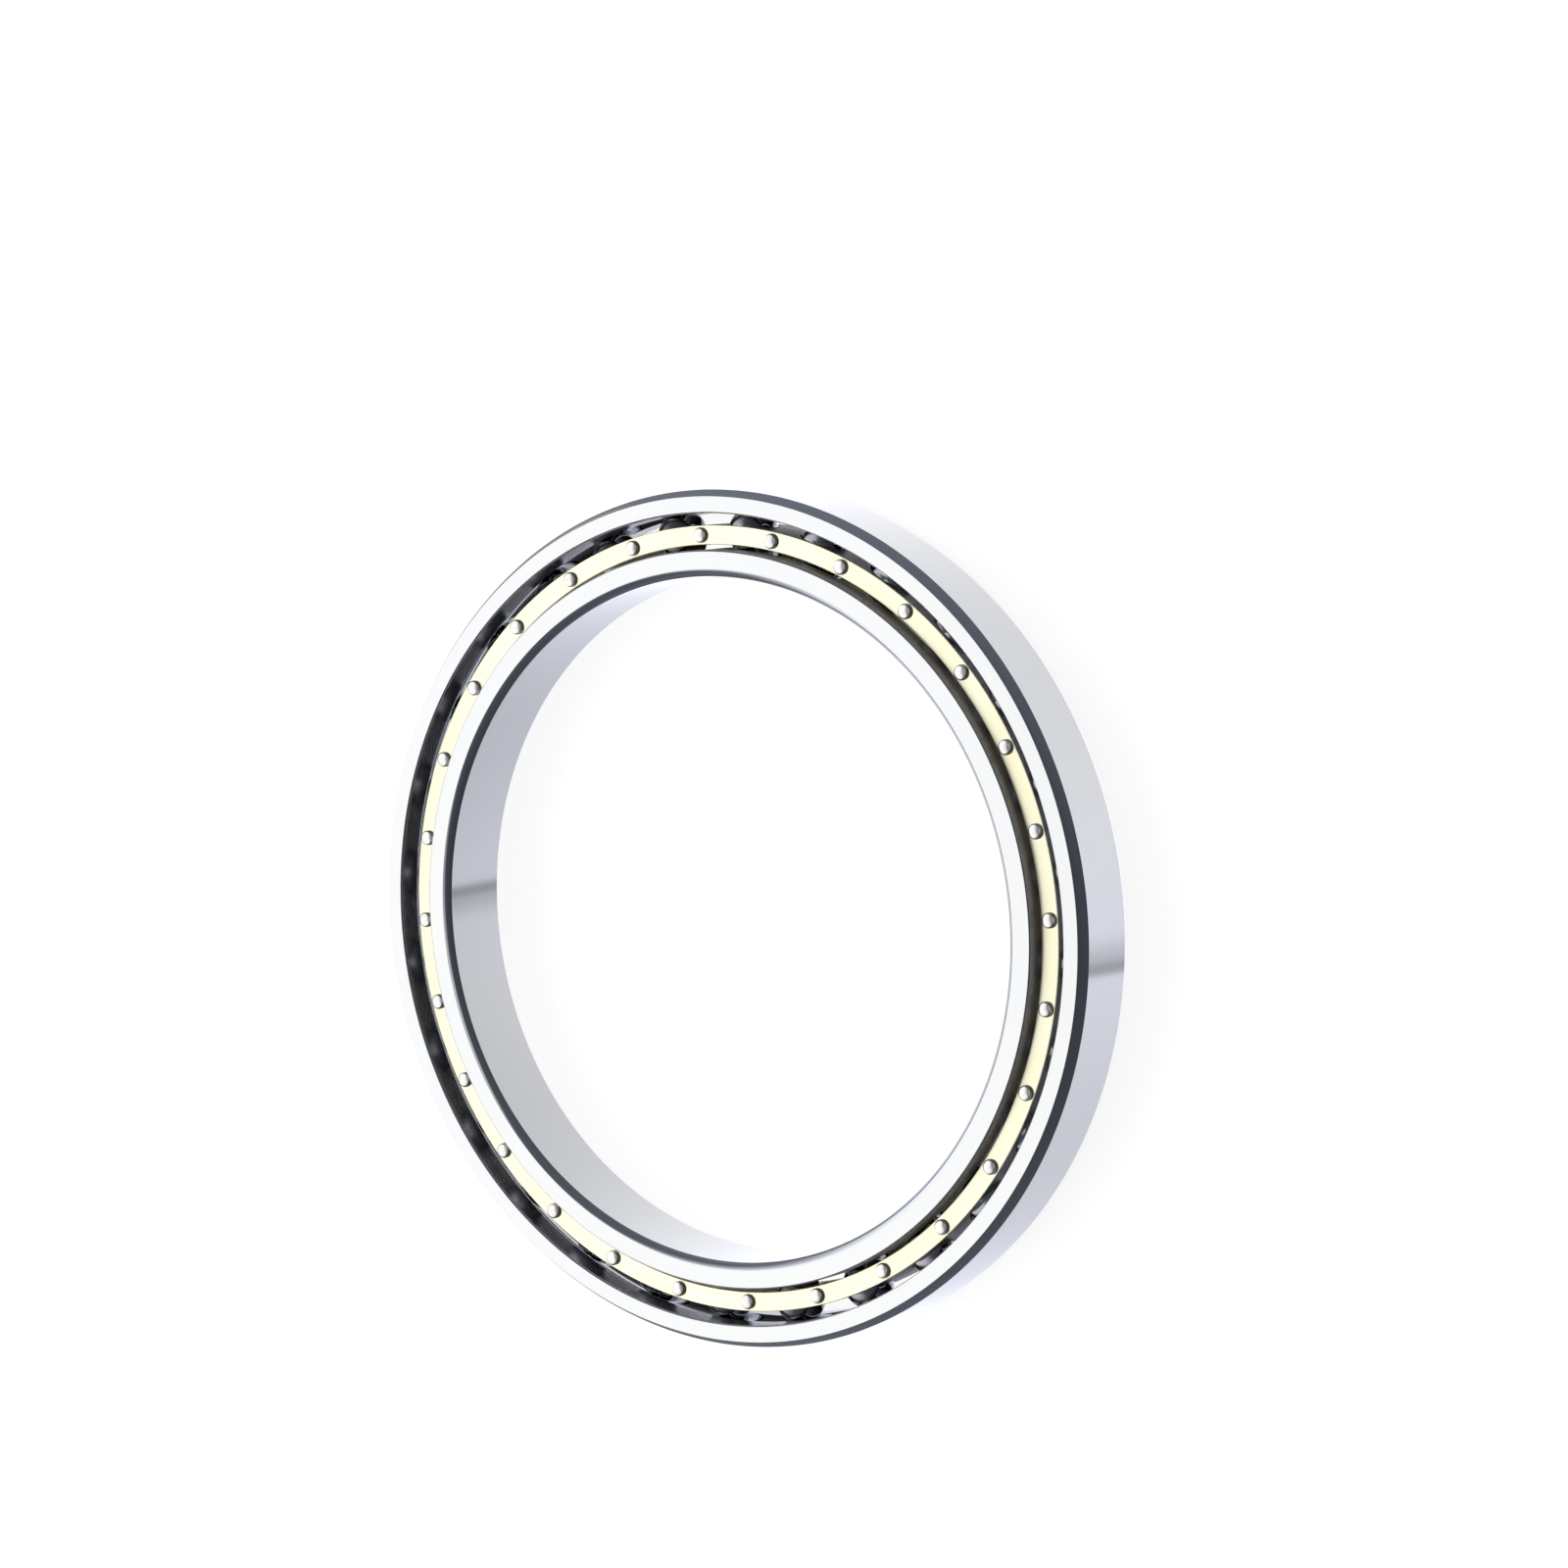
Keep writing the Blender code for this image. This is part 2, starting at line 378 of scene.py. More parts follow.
class NodeTree:
    """A short way to write a shader's nodes and the links between them."""

    def __init__(self, tree: bpy.types.NodeTree) -> None:
        """Keeps the tree that the nodes go into."""
        self.tree = tree

    def node(self, kind: str, **settings: Union[str, bool]) -> bpy.types.Node:
        """Adds a node.

        Args:
            kind: Its type.
            **settings: Its properties.

        Returns:
            The node.
        """
        made = self.tree.nodes.new(kind)
        for name, value in settings.items():
            setattr(made, name, value)
        return made

    def put(self, value: Value, socket: Socket) -> None:
        """Links an output to a socket, or sets the socket to a constant.

        Args:
            value: The output or the constant.
            socket: The input that takes it.
        """
        if isinstance(value, Socket):
            self.tree.links.new(value, socket)
        else:
            socket.default_value = value

    def math(self, operation: str, *values: Value) -> Socket:
        """A Math node's result.

        Args:
            operation: What the node works out.
            *values: What it works on.

        Returns:
            Its output.
        """
        made = self.node("ShaderNodeMath", operation=operation)
        for value, socket in zip(values, made.inputs):
            self.put(value, socket)
        return made.outputs[0]

    def weighted(self, values: Sequence[Socket], shares: Sequence[float]) -> Socket:
        """The sum of some values, each times its share.

        Args:
            values: The values.
            shares: A factor for each.

        Returns:
            The sum.
        """
        parts = [self.math("MULTIPLY", value, share) for value, share in zip(values, shares)]
        total = parts[0]
        for part in parts[1:]:
            total = self.math("ADD", total, part)
        return total

    def ramp(self, value: Value, low: float, high: float, start: float, end: float) -> Socket:
        """Eases a value between low and high into the range from start to end.

        With t = (value - low) / (high - low), held from 0 to 1, it is
        start + (end - start) (3 tt - 2 ttt).

        Args:
            value: The value.
            low: Where it is start.
            high: Where it is end.
            start: The result up to low.
            end: The result from high on.

        Returns:
            The eased value.
        """
        made = self.node("ShaderNodeMapRange", interpolation_type="SMOOTHSTEP")
        for number, socket in zip((value, low, high, start, end), made.inputs):
            self.put(number, socket)
        return made.outputs[0]

    def mix(self, share: Value, first: Value, second: Value) -> Socket:
        """Mixes two colours. The node's inputs 6 and 7 and its output 2 are the ones for colours.

        Args:
            share: Share of the second one, from 0 to 1.
            first: The first colour.
            second: The second colour.

        Returns:
            The mixed colour.
        """
        made = self.node("ShaderNodeMix", data_type="RGBA")
        self.put(share, made.inputs[0])
        self.put(first, made.inputs[6])
        self.put(second, made.inputs[7])
        return made.outputs[2]

    def noise(self, vector: Socket, scale: float, detail: float) -> Socket:
        """A Noise Texture's value.

        Args:
            vector: Where it is taken.
            scale: Number of its waves for each unit.
            detail: Number of its finer layers.

        Returns:
            A value from 0 to 1.
        """
        made = self.node("ShaderNodeTexNoise")
        self.put(vector, made.inputs["Vector"])
        self.put(scale, made.inputs["Scale"])
        self.put(detail, made.inputs["Detail"])
        return made.outputs[0]


@dataclass(frozen=True)
class MetalFinish:
    """A bare metal surface with the fine marks that its machining leaves."""

    name: str
    colour: Colour  # Base colour where it is clean
    tint: Colour  # Base colour that it drifts to in broad, faint clouds
    roughness: float
    spread: float  # How far the marks change the roughness, each way
    lines: float  # Marks for each metre across them
    depth: float  # Height of the marks
    grain: Grain = Grain.ROUND_THE_AXIS  # How the marks run
    # Share, from 0 to 1, by which reflections spread across the marks more than along them
    stretch: float = 0.0
    cloud: float = 30.0  # Clouds for each metre
    shade: float = 0.10  # Share by which the deepest marks darken the colour
    bare: float = 1.0  # Share that shines as bare metal. The rest is dull, as under a dry film of oil.
    CLOUD_EDGES: ClassVar[Pair] = (0.35, 0.65)  # Noise values between which a cloud fades in
    SHADE_EDGES: ClassVar[Pair] = (0.3, 0.7)  # Heights of a mark between which its shade fades
    ROUGH_EDGES: ClassVar[Pair] = (0.25, 0.75)  # Heights of a mark between which its roughness changes
    # Waves for each metre of the drift along the marks, and its reach
    DRIFT: ClassVar[Pair] = (55.0, 7.0)
    MARK_LAYERS: ClassVar[float] = 3.0  # Finer layers of the marks' noise
    CLOUD_LAYERS: ClassVar[float] = 2.0  # Finer layers of the clouds' noise
    ACROSS: ClassVar[float] = 0.25  # Turn that lays the spread of reflections across the marks

    def material(self) -> bpy.types.Material:
        """Makes the material.

        The marks are noise. Marks that run round the axis take their noise at the point (r f, z f, w),
        where r is the distance from the axis, f is the lines value and w drifts slowly over the piece,
        so that each mark is a long arc that fades in and out. Other marks take it at the point itself.

        Returns:
            The Principled material.
        """
        made = bpy.data.materials.new(self.name)
        made.use_nodes = True
        tree = NodeTree(made.node_tree)
        shader = made.node_tree.nodes["Principled BSDF"]
        place = tree.node("ShaderNodeTexCoord").outputs["Object"]
        marks = self._marks(tree, place)
        spots = tree.noise(place, self.cloud, self.CLOUD_LAYERS)
        clouds = tree.ramp(spots, *self.CLOUD_EDGES, 0.0, 1.0)
        base = tree.mix(clouds, (*self.colour, 1), (*self.tint, 1))
        shaded = tree.mix(tree.ramp(marks, *self.SHADE_EDGES, self.shade, 0.0), base, (0, 0, 0, 1))
        tree.put(shaded, shader.inputs["Base Color"])
        smoothest, roughest = self.roughness - self.spread, self.roughness + self.spread
        rough = tree.ramp(marks, *self.ROUGH_EDGES, smoothest, roughest)
        tree.put(rough, shader.inputs["Roughness"])
        shader.inputs["Metallic"].default_value = self.bare
        if self.stretch:
            shader.inputs["Anisotropic"].default_value = self.stretch
            shader.inputs["Anisotropic Rotation"].default_value = self.ACROSS
            round_axis = tree.node("ShaderNodeTangent", direction_type="RADIAL", axis="Z")
            tree.put(round_axis.outputs[0], shader.inputs["Tangent"])
        bump = tree.node("ShaderNodeBump")
        bump.inputs["Strength"].default_value = 1.0
        bump.inputs["Distance"].default_value = self.depth
        tree.put(marks, bump.inputs["Height"])
        tree.put(bump.outputs[0], shader.inputs["Normal"])
        return made

    def _marks(self, tree: NodeTree, place: Socket) -> Socket:
        """The height of the marks, as the material's description gives it.

        Args:
            tree: The material's nodes.
            place: The point on the piece.

        Returns:
            A height from 0 to 1.
        """
        if self.grain is Grain.EVERY_WAY:
            return tree.noise(place, self.lines, self.MARK_LAYERS)
        parts = tree.node("ShaderNodeSeparateXYZ")
        tree.put(place, parts.inputs[0])
        x, y, z = parts.outputs
        squares = tree.math("ADD", tree.math("MULTIPLY", x, x), tree.math("MULTIPLY", y, y))
        across = tree.math("MULTIPLY", tree.math("SQRT", squares), self.lines)
        up = tree.math("MULTIPLY", z, self.lines)
        waves, reach = self.DRIFT
        drift = tree.math("MULTIPLY", tree.noise(place, waves, 1.0), reach)
        point = tree.node("ShaderNodeCombineXYZ")
        for value, socket in zip((across, up, drift), point.inputs):
            tree.put(value, socket)
        return tree.noise(point.outputs[0], 1.0, self.MARK_LAYERS)


GROUND_STEEL = MetalFinish(
    name="ground_ring_steel", colour=(0.648, 0.657, 0.664), tint=(0.658, 0.660, 0.662),
    roughness=0.085, spread=0.012, lines=2600.0, depth=0.08 * MICRON,
    stretch=0.5, shade=0.03, bare=0.88,
)
TURNED_STEEL = MetalFinish(
    name="turned_corner_steel", colour=(0.60, 0.61, 0.65), tint=(0.58, 0.60, 0.65),
    roughness=0.085, spread=0.02, lines=5200.0, depth=0.3 * MICRON,
    stretch=0.4, shade=0.06,
)
RACE_STEEL = MetalFinish(
    name="honed_race_steel", colour=(0.58, 0.59, 0.62), tint=(0.55, 0.57, 0.60),
    roughness=0.08, spread=0.02, lines=7000.0, depth=0.2 * MICRON,
    stretch=0.4,
)
OUTER_LAND_STEEL = MetalFinish(
    name="satin_outer_land_steel", colour=(0.58, 0.58, 0.60), tint=(0.54, 0.54, 0.56),
    roughness=0.28, spread=0.04, lines=4200.0, depth=0.5 * MICRON,
    stretch=0.4, cloud=45.0, shade=0.06,
)
# Painted light: the inner ring's land is a much paler copy of the ring steel, so that the slot between it
# and the cage looks lit.
LIGHT_PAINTED_LAND_STEEL = MetalFinish(
    name="satin_inner_land_steel_painted_light", colour=(0.88, 0.85, 0.86), tint=(0.84, 0.80, 0.80),
    roughness=0.40, spread=0.05, lines=4200.0, depth=0.5 * MICRON,
    stretch=0.4, cloud=45.0, shade=0.06,
)
BALL_STEEL = MetalFinish(
    name="lapped_ball_steel", colour=(0.56, 0.57, 0.60), tint=(0.54, 0.55, 0.59),
    roughness=0.04, spread=0.012, grain=Grain.EVERY_WAY, lines=900.0, depth=0.3 * MICRON,
    cloud=60.0,
)
TURNED_BRASS = MetalFinish(
    name="turned_cage_brass", colour=(0.965, 0.94, 0.70), tint=(0.955, 0.92, 0.66),
    roughness=0.23, spread=0.03, lines=3200.0, depth=0.5 * MICRON,
    stretch=0.7, cloud=45.0, shade=0.05, bare=0.80,
)
# Painted shade: the cage's outer wall is a dark grey in place of brass, so that the narrow gap between
# cage and outer ring looks dark.
SHADE_PAINTED_BRASS = MetalFinish(
    name="outer_wall_brass_painted_shade", colour=(0.34, 0.345, 0.34), tint=(0.29, 0.29, 0.27),
    roughness=0.42, spread=0.06, lines=2400.0, depth=3.0 * MICRON,
    stretch=0.4, cloud=90.0,
)
# Painted light: the cage's inner wall is a paler copy of the brass, half of it dull, so that the deep
# slot by the inner ring looks lit.
LIGHT_PAINTED_BRASS = MetalFinish(
    name="inner_wall_brass_painted_light", colour=(0.94, 0.88, 0.66), tint=(0.90, 0.83, 0.60),
    roughness=0.50, spread=0.06, lines=2400.0, depth=2.0 * MICRON,
    stretch=0.4, cloud=90.0, shade=0.06, bare=0.50,
)
MILLED_BRASS = MetalFinish(
    name="milled_pocket_brass", colour=(0.60, 0.55, 0.38), tint=(0.54, 0.48, 0.31),
    roughness=0.30, spread=0.05, grain=Grain.EVERY_WAY, lines=1800.0, depth=2.0 * MICRON,
    cloud=120.0,
)
RIVET_STEEL = MetalFinish(
    name="formed_rivet_steel", colour=(0.68, 0.67, 0.65), tint=(0.64, 0.63, 0.62),
    roughness=0.12, spread=0.03, grain=Grain.EVERY_WAY, lines=1500.0, depth=2.0 * MICRON,
    cloud=200.0,
)


@dataclass
class Ring:
    """A turned, hardened and ground ring with a race."""

    sizes: BearingSizes
    node: str
    seat_radius: float  # Radius of its bore or its outside
    groove_bottom: float  # Radius of the deepest line of the race
    shoulder: float  # Height of the race's shoulder above that line
    inward: Inward  # The way from the seat into the metal
    corner_radial: float  # Size of the corner on the side face
    corner_axial: float  # Size of the corner on the seat
    corner_bulge: float  # How far the corner bulges past a straight chamfer, as an angle
    edge_break: float = 0.35 * MM  # Size of the small edge between side face and land
    edge_bulge: float = math.radians(25)  # How far that edge bulges past a straight chamfer, as an angle
    blend: float = 0.12 * MM  # Height of the easing from land to race, which is a third as deep
    blend_bulge: float = 0.3  # How far the easing bulges, as an angle
    corner_steps: int = 8
    edge_steps: int = 5
    blend_steps: int = 3
    race_steps: int = 14  # Steps over half of the race
    segments: int = 448  # Steps round the axis

    @property
    def land_radius(self) -> float:
        """Radius of the lands beside the race."""
        return self.groove_bottom + self.inward.value * self.shoulder

    def _upper_half(self) -> list[tuple[np.ndarray, RingZone]]:
        """The stretches from the seat's middle over the top face to the bottom of the race.

        Returns:
            Stretches of (radius, height above the mid plane), each with its zone.
        """
        into = self.inward.value
        half = self.sizes.width / 2
        land = self.land_radius
        seat, side = self.seat_radius, self.seat_radius + into * self.corner_radial
        groove = self.sizes.groove_radius
        spread = math.acos(1 - self.shoulder / groove)
        corner_foot, corner_top = (seat, half - self.corner_axial), (side, half)
        edge_top, edge_foot = (land - into * self.edge_break, half), (land, half - self.edge_break)
        foot = groove * math.sin(spread)
        blend_top, blend_foot = (land, foot + self.blend), (land - into * self.blend / 3, foot)
        corner = bulged(corner_foot, corner_top, -into * self.corner_bulge, self.corner_steps)
        edge = bulged(edge_top, edge_foot, -into * self.edge_bulge, self.edge_steps)
        blend = bulged(blend_top, blend_foot, -into * self.blend_bulge, self.blend_steps)
        return [
            (line((seat, 0), corner_foot), RingZone.GROUND),
            (corner, RingZone.TURNED),
            (line(corner_top, edge_top), RingZone.GROUND),
            (edge, RingZone.TURNED),
            (line(edge_foot, blend_top), RingZone.LAND),
            (blend, RingZone.RACE),
            (self._race(groove, spread), RingZone.RACE),
        ]

    def _race(self, groove: float, spread: float) -> np.ndarray:
        """Half of the race's arc, from its upper edge down to its bottom.

        A point at the angle a from the radius lies at (c - into g cos a, g sin a), where g is the
        groove's radius and c the radius of its centre.

        Args:
            groove: Radius of the arc.
            spread: Angle of its upper edge.

        Returns:
            Rows of (radius, height above the mid plane).
        """
        into = self.inward.value
        centre = self.groove_bottom + into * groove
        angle = spread * (1 - np.arange(1, self.race_steps) / self.race_steps)
        return np.stack([centre - into * groove * np.cos(angle), groove * np.sin(angle)], axis=-1)

    def _profile(self) -> Profile:
        """The whole section: the upper half and its mirror image, joined at seat and race.

        Returns:
            The closed section.
        """
        made = Profile()
        stretches = self._upper_half()
        for points, zone in stretches:
            made.add(points + (0, self.sizes.mid), zone)
        bottom = np.array([[self.groove_bottom, self.sizes.mid]])
        made.add(bottom, RingZone.RACE)
        for points, zone in reversed(stretches):
            mirrored = points[::-1] * (1, -1)
            made.add(mirrored + (0, self.sizes.mid), zone)
        return made

    def build(self, finishes: list[bpy.types.Material]) -> bpy.types.Object:
        """Makes the ring and puts it on its body."""
        mesh = ring_mesh(f"{self.node}_mesh", self._profile(), self.segments)
        return add_piece(f"{self.node}_finished", mesh, finishes, self.node, [self.node])


@dataclass
class BallSet:
    """The balls, one piece on each ball's body."""

    sizes: BearingSizes
    segments: int = 40  # Steps round each ball
    rings: int = 24  # Steps from pole to pole

    def _section(self) -> np.ndarray:
        """A half circle from pole to pole: (R sin a, R cos a) with a from 0 to pi."""
        angle = np.linspace(0, np.pi, self.rings + 1)
        return self.sizes.ball_radius * np.stack([np.sin(angle), np.cos(angle)], axis=-1)

    def build(self, finish: bpy.types.Material) -> list[bpy.types.Object]:
        """Makes each ball on the pitch circle, the first on +X.

        Args:
            finish: Their material.

        Returns:
            The balls.
        """
        made = []
        for number in range(self.sizes.ball_count):
            node = f"ball_{number + 1:02d}"
            angle = number * self.sizes.pitch
            place = self.sizes.pitch_radius * Vector((math.cos(angle), math.sin(angle), 0))
            place.z = self.sizes.mid
            mesh = poled_mesh(f"{node}_mesh", self._section(), self.segments, place)
            made.append(add_piece(f"lapped_{node}", mesh, [finish], node, [node]))
        return made


@dataclass
class CageHalf:
    """One of the two turned and milled brass halves, arched over the balls."""

    sizes: BearingSizes
    side: Side  # The side of the mid plane that it lies on
    edge: float = 0.18 * MM  # Radius of its rounded outer edges
    guard: float = 0.05 * MM  # Width beside each rounded edge whose shading stays flat
    # Heights of the walls' lines, as shares of the way from end face to under side
    wall_shares: tuple[float, ...] = (1.0, 0.97, 0.6, 0.3, 0.04)
    under_steps: int = 7  # Steps across the under side
    edge_steps: int = 4
    arch_steps: int = 22  # Steps over each pocket
    bar_steps: int = 8  # Steps along each bar between two pockets

    @property
    def node(self) -> str:
        """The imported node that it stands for."""
        return f"cage_{self.side.name.lower()}_half"

    def _under_side(self, radius: np.ndarray) -> tuple[np.ndarray, np.ndarray]:
        """Angle and height of the under side, over one pitch.

        The pocket is a sphere round the ball's centre, at the pitch radius c, with the radius p. Where it
        cuts the cylinder of radius r, at the angle a from the ball, its height is
        sqrt(pp - rr - cc + 2 r c cos a). It meets the flat seat, at the height s, at the angle A with
        cos A = (rr + cc - pp + ss) / (2 r c). The arch has the angles -A cos t, with t from 0 to pi, and
        the bar has the height s and evenly spaced angles from A to the next pocket's -A.

        Args:
            radius: Radii, as one row.

        Returns:
            Angles from the ball and heights above the mid plane, one row for each step along the pitch
            and one column for each radius.
        """
        size = self.sizes
        seat = size.seat_gap / 2
        pocket = size.ball_radius + size.pocket_clearance
        centre = size.pitch_radius
        end = np.arccos((radius**2 + centre**2 - pocket**2 + seat**2) / (2 * radius * centre))
        turn = np.linspace(0, np.pi, self.arch_steps + 1)[:, None]
        arch = -end * np.cos(turn)
        squared = pocket**2 - radius**2 - centre**2 + 2 * radius * centre * np.cos(arch)
        height = np.sqrt(np.maximum(squared, seat**2))
        share = np.arange(1, self.bar_steps)[:, None] / self.bar_steps
        bar = end + share * (size.pitch - 2 * end)
        return np.concatenate([arch, bar]), np.concatenate([height, np.full_like(bar, seat)])

    def _section(self) -> tuple[np.ndarray, np.ndarray, list[int]]:
        """The closed section: from the under side up the outer wall, over the end face and down again.

        Returns:
            Radii, pairs (share, drop) and zones. A point's height is share times the under side's plus
            (1 - share) times the end face's, less drop.
        """
        size = self.sizes
        outer, inner = size.cage_outer_radius, size.cage_outer_radius - size.cage_thickness
        edge, beside = self.edge, self.edge + self.guard
        under = np.linspace(inner, outer, self.under_steps + 1)[:-1]
        wall = np.array(self.wall_shares)
        back = wall[:0:-1]
        turn = np.linspace(0, np.pi / 2, self.edge_steps + 1)
        inset = edge - edge * np.cos(turn)
        fall = edge - edge * np.sin(turn)
        flat = np.array([outer - beside, (outer + inner) / 2, inner + beside])
        over = 2 * len(turn) + len(flat)
        radii = np.concatenate([
            under, np.full_like(wall, outer), outer - inset, flat, inner + inset[::-1],
            np.full_like(back, inner),
        ])
        shares = np.concatenate([np.ones_like(under), wall, np.zeros(over), back])
        drops = np.concatenate([
            np.zeros_like(under), edge * (1 - wall), fall, np.zeros_like(flat), fall[::-1],
            edge * (1 - back),
        ])
        zones = [CageZone.POCKET.value] * len(under) + [CageZone.OUTER_WALL.value] * len(wall)
        zones += [CageZone.END_FACE.value] * (over - 1) + [CageZone.INNER_WALL.value] * len(wall)
        return radii, np.stack([shares, drops], axis=-1), zones

    def build(self, finishes: list[bpy.types.Material]) -> bpy.types.Object:
        """Makes the half by carrying the section over every pocket and bar.

        Each step along the pitch is a row of the section's points, at the step's angle a from its
        ball and the ball's own angle b, so that a point is (r cos (a + b), r sin (a + b), height).

        Args:
            finishes: Its materials, in the order of CageZone.

        Returns:
            The half.
        """
        size = self.sizes
        radii, levels, zones = self._section()
        angle, under = self._under_side(radii[None, :])
        top = size.cage_top - size.mid
        height = levels[:, 0] * under + (1 - levels[:, 0]) * top - levels[:, 1]
        ball = size.pitch * np.arange(size.ball_count)[:, None, None]
        turn = (angle[None] + ball).reshape(-1, len(radii))
        rise = np.tile(height, (size.ball_count, 1))
        level = size.mid + self.side.value * rise
        vertices = np.stack([radii * np.cos(turn), radii * np.sin(turn), level], axis=-1).reshape(-1, 3)
        steps, count = turn.shape
        quads = grid_quads(steps, count, steps)[:, TURNED_OVER]
        faces = quads if self.side is Side.UPPER else quads[:, ::-1]
        mesh = build_mesh(f"{self.node}_mesh", vertices, [faces])
        mesh.polygons.foreach_set("material_index", np.tile(np.array(zones, dtype=np.int32), steps))
        return add_piece(f"{self.node}_finished", mesh, finishes, "cage", [self.node])


@dataclass
class RivetSet:
    """The rivets, one through each bar of the cage, with a low round head at each end."""

    sizes: BearingSizes
    head_radius: float = 1.8 * MM
    shank_radius: float = 1.0 * MM
    crown_radius: float = 9.0 * MM  # Radius of the flat dome on top
    brow_radius: float = 0.5 * MM  # Radius of the rounding between dome and side
    brow_end: float = 72.0  # Slope at which the rounding ends, in degrees from the flat
    dome_steps: int = 4
    brow_steps: int = 7
    segments: int = 32  # Steps round each rivet

    def _section(self) -> np.ndarray:
        """The profile from crown to crown.

        The dome is an arc of radius D about the axis, up to the slope b. The rounding is an arc of
        radius E from the slope b to the slope e, so that sin b = (a - E sin e) / (D - E), where a is the
        head's radius. A point of either arc lies where its slope is t: (D sin t, -D (1 - cos t)) on the
        dome and ((D - E) sin b + E sin t, ...) on the rounding.

        Returns:
            Rows of (radius, height above the mid plane), from the top down.
        """
        crown = self.sizes.crown_height - self.sizes.mid
        seat = self.sizes.cage_top - self.sizes.mid + self.sizes.seat_gap
        dome, brow = self.crown_radius, self.brow_radius
        end = math.radians(self.brow_end)
        start = math.asin((self.head_radius - brow * math.sin(end)) / (dome - brow))
        rise = np.linspace(0, start, self.dome_steps + 1)[:-1]
        turn = np.linspace(start, end, self.brow_steps + 1)
        upper_dome = np.stack([dome * np.sin(rise), crown - dome * (1 - np.cos(rise))], axis=-1)
        out = (dome - brow) * math.sin(start)
        lift = crown - dome + (dome - brow) * math.cos(start)
        rounding = np.stack([out + brow * np.sin(turn), lift + brow * np.cos(turn)], axis=-1)
        under = np.array([[self.head_radius, seat], [self.shank_radius, seat]])
        upper = np.concatenate([upper_dome, rounding, under])
        return np.concatenate([upper, upper[::-1] * (1, -1)])

    def build(self, finish: bpy.types.Material) -> list[bpy.types.Object]:
        """Makes each rivet, half a pitch after its ball.

        Args:
            finish: Their material.

        Returns:
            The rivets.
        """
        made = []
        for number in range(self.sizes.ball_count):
            node = f"rivet_{number + 1:02d}"
            angle = (number + 0.5) * self.sizes.pitch
            place = self.sizes.cage_mean_radius * Vector((math.cos(angle), math.sin(angle), 0))
            place.z = self.sizes.mid
            mesh = poled_mesh(f"{node}_mesh", self._section(), self.segments, place)
            made.append(add_piece(f"formed_{node}", mesh, [finish], "cage", [node]))
        return made


@dataclass
class Bearing:
    """The whole bearing, built from the shared sizes: rings, balls, cage and rivets."""

    sizes: BearingSizes

    def _rings(self) -> list[Ring]:
        """Sets out the two rings, one race each side of the balls.

        Returns:
            The outer and the inner ring.
        """
        size = self.sizes
        reach = size.ball_radius + size.race_clearance
        outer = Ring(
            size, "outer_ring", seat_radius=size.outer_radius, groove_bottom=size.pitch_radius + reach,
            shoulder=1.6 * MM, inward=Inward.OUTER_RING,
            corner_radial=1.5 * MM, corner_axial=2.45 * MM, corner_bulge=math.radians(6),
        )
        inner = Ring(
            size, "inner_ring", seat_radius=size.bore_radius, groove_bottom=size.pitch_radius - reach,
            shoulder=2.3 * MM, inward=Inward.INNER_RING,
            corner_radial=1.75 * MM, corner_axial=1.3 * MM, corner_bulge=math.radians(16),
        )
        return [outer, inner]

    def build(self) -> None:
        """Makes every piece."""
        ring_finishes = [finish.material() for finish in (GROUND_STEEL, TURNED_STEEL, RACE_STEEL)]
        # The inner ring's land finish is painted light: a paler copy of the ring steel.
        for ring, land_finish in zip(self._rings(), (OUTER_LAND_STEEL, LIGHT_PAINTED_LAND_STEEL)):
            ring.build(ring_finishes + [land_finish.material()])
        BallSet(self.sizes).build(BALL_STEEL.material())
        # The outer wall's finish is painted shade, and the inner wall's finish is painted light.
        brass_finishes = [
            finish.material() for finish in (TURNED_BRASS, SHADE_PAINTED_BRASS, LIGHT_PAINTED_BRASS, MILLED_BRASS)
        ]
        for side in Side:
            CageHalf(self.sizes, side).build(brass_finishes)
        RivetSet(self.sizes).build(RIVET_STEEL.material())


